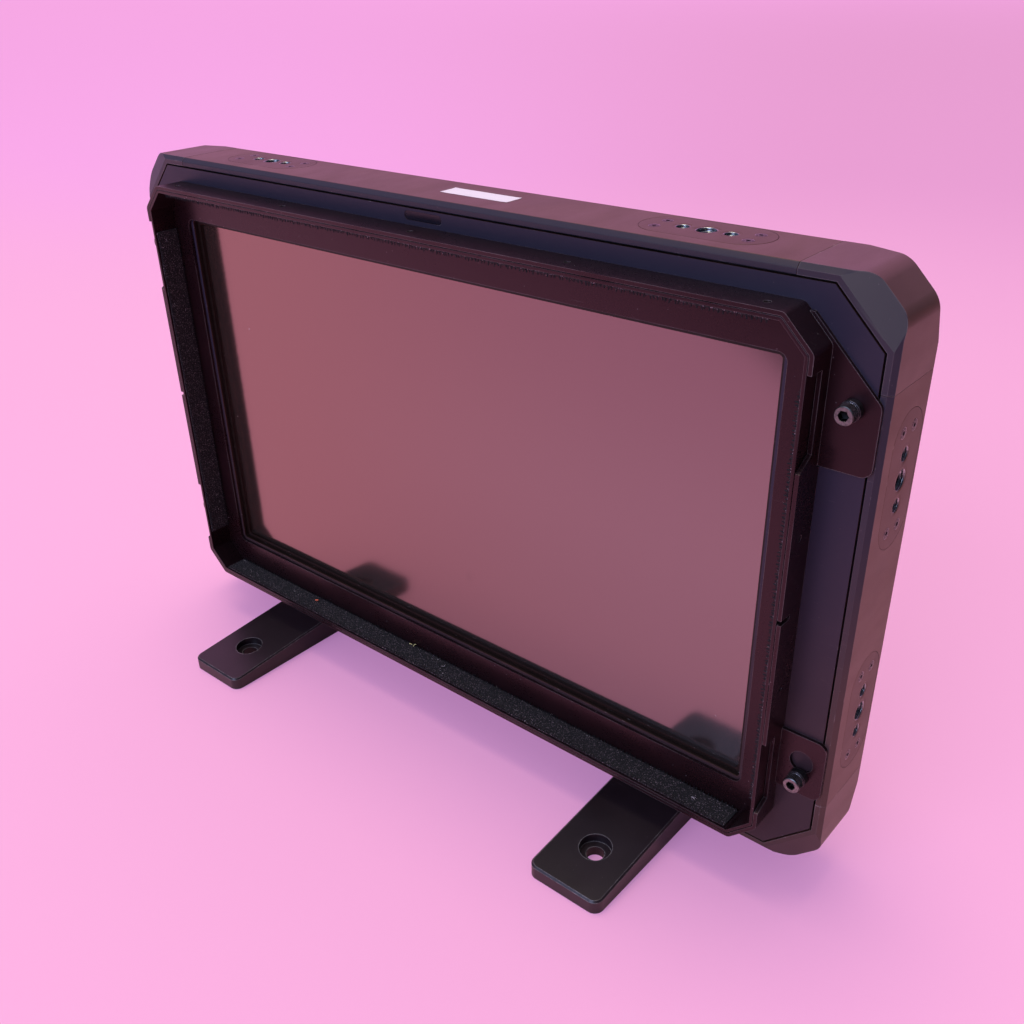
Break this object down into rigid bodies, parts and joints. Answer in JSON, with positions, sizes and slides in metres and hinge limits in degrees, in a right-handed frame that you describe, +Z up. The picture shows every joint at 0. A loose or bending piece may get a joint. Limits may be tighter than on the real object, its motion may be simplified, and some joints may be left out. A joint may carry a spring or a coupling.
{
  "type": "recording monitor",
  "caption": "Wide black recording monitor on two foot bars, with a screw-on hood mounting frame, threaded inserts in its rails, rear plug bays, a drive caddy and a fan.",
  "frame": {"origin": "on the floor, in the middle of the width, on the line of the threaded inserts and foot bolts", "axes": "+X to the right as seen from the screen side, +Y from the screen to the back, +Z up"},
  "size_m": [0.504, 0.2056, 0.3246],
  "materials": {
    "black_anodised": "satin black anodised aluminium, fine grain",
    "black_sheet": "satin black powder coat on folded sheet",
    "black_steel": "black oxide, worn bright on edges",
    "bright_steel": "plain steel",
    "bare_aluminium": "mill finish",
    "screen_glass": "dark glass with a satin anti glare finish",
    "sensor_window": "smoked window",
    "lcd_panel": "display panel",
    "white_plastic": "white diffuser housing",
    "foam": "black foam",
    "hook_tape": "black hook tape with a loose fuzzy edge",
    "green_board": "green circuit board",
    "flat_cable": "amber flat cable",
    "black_plastic": "moulded black plastic",
    "drive_case": "dark aluminium case",
    "socket_black": "black socket shell",
    "socket_nickel": "nickel plate",
    "label_paper": "blank white label"
  },
  "bodies": {
    "monitor": {"audio_panel": "black_sheet", "backlight_unit": "white_plastic", "bnc_sockets": "socket_nickel", "bottom_rail": "black_anodised", "corner_bottom_left": "black_anodised", "corner_bottom_right": "black_anodised", "corner_top_left": "black_anodised", "corner_top_right": "black_anodised", "display_cable": "flat_cable", "exhaust_grille": "black_sheet", "fan_housing": "black_plastic", "foot_bolts": "black_steel", "foot_left": "black_anodised", "foot_right": "black_anodised", "front_bezel": "black_anodised", "glass_gasket": "foam", "hdmi_sockets": "socket_nickel", "headphone_jack": "black_plastic", "heat_sink": "bare_aluminium", "hood_collars": "black_steel", "hood_inner_frame": "black_sheet", "hood_plate": "black_sheet", "hood_rivets": "bare_aluminium", "hook_strips": "hook_tape", "insert_plates": "black_anodised", "insert_screws": "black_steel", "internal_screws": "bright_steel", "lcd_panel": "lcd_panel", "left_rail": "black_anodised", "main_board": "green_board", "media_dock": "black_plastic", "mid_chassis": "bare_aluminium", "power_board": "green_board", "power_inlet": "socket_black", "rear_cover": "black_sheet", "rear_hump": "black_sheet", "rear_screws": "black_steel", "right_rail": "black_anodised", "screen_glass": "screen_glass", "sensor_window": "sensor_window", "speaker": "black_plastic", "thread_sleeves": "bright_steel", "top_label": "label_paper", "top_rail": "black_anodised", "vesa_plate": "black_steel", "video_panel": "black_sheet", "xlr_inputs": "socket_black", "xlr_outputs": "socket_black"},
    "hood_screw_upper_left": {"hood_screw_upper_left": "black_steel"},
    "hood_screw_upper_right": {"hood_screw_upper_right": "black_steel"},
    "hood_screw_lower_left": {"hood_screw_lower_left": "black_steel"},
    "hood_screw_lower_right": {"hood_screw_lower_right": "black_steel"},
    "power_button": {"power_button": "black_plastic"},
    "eject_button": {"eject_button": "black_plastic"},
    "media_caddy": {"media_caddy": "black_plastic", "media_drive": "drive_case"},
    "xlr_latch_upper": {"xlr_latch_upper": "black_plastic"},
    "xlr_latch_lower": {"xlr_latch_lower": "black_plastic"},
    "fan_rotor": {"fan_rotor": "black_plastic"}
  },
  "joints": [
    {"name": "hood_screw_upper_left_turn", "type": "hinge", "parent": "monitor", "child": "hood_screw_upper_left", "pos_m": [-0.2323, -0.0305, 0.2712], "axis": [0, -1, 0], "range_deg": [0, 720]},
    {"name": "hood_screw_lower_left_turn", "type": "hinge", "parent": "monitor", "child": "hood_screw_lower_left", "pos_m": [-0.2323, -0.0305, 0.0789], "axis": [0, -1, 0], "range_deg": [0, 720]},
    {"name": "hood_screw_upper_right_turn", "type": "hinge", "parent": "monitor", "child": "hood_screw_upper_right", "pos_m": [0.2378, -0.0305, 0.2712], "axis": [0, -1, 0], "range_deg": [0, 720]},
    {"name": "hood_screw_lower_right_turn", "type": "hinge", "parent": "monitor", "child": "hood_screw_lower_right", "pos_m": [0.2378, -0.0305, 0.0789], "axis": [0, -1, 0], "range_deg": [0, 720]},
    {"name": "power_button_press", "type": "slide", "parent": "monitor", "child": "power_button", "axis": [0, 0, -1], "range_m": [0, 0.0015], "stiffness_N_per_m": 300, "springref_m": -0.002},
    {"name": "eject_button_press", "type": "slide", "parent": "monitor", "child": "eject_button", "axis": [0, 0, -1], "range_m": [0, 0.0015], "stiffness_N_per_m": 300, "springref_m": -0.002},
    {"name": "caddy_slide", "type": "slide", "parent": "monitor", "child": "media_caddy", "axis": [0, 0, 1], "range_m": [0, 0.09]},
    {"name": "xlr_latch_upper_press", "type": "slide", "parent": "monitor", "child": "xlr_latch_upper", "axis": [-1, 0, 0], "range_m": [0, 0.0012], "stiffness_N_per_m": 250, "springref_m": -0.001},
    {"name": "xlr_latch_lower_press", "type": "slide", "parent": "monitor", "child": "xlr_latch_lower", "axis": [-1, 0, 0], "range_m": [0, 0.0012], "stiffness_N_per_m": 250, "springref_m": -0.001},
    {"name": "fan_spin", "type": "hinge", "parent": "monitor", "child": "fan_rotor", "pos_m": [0.11, 0.026, 0.2135], "axis": [0, 1, 0], "continuous": true}
  ]
}
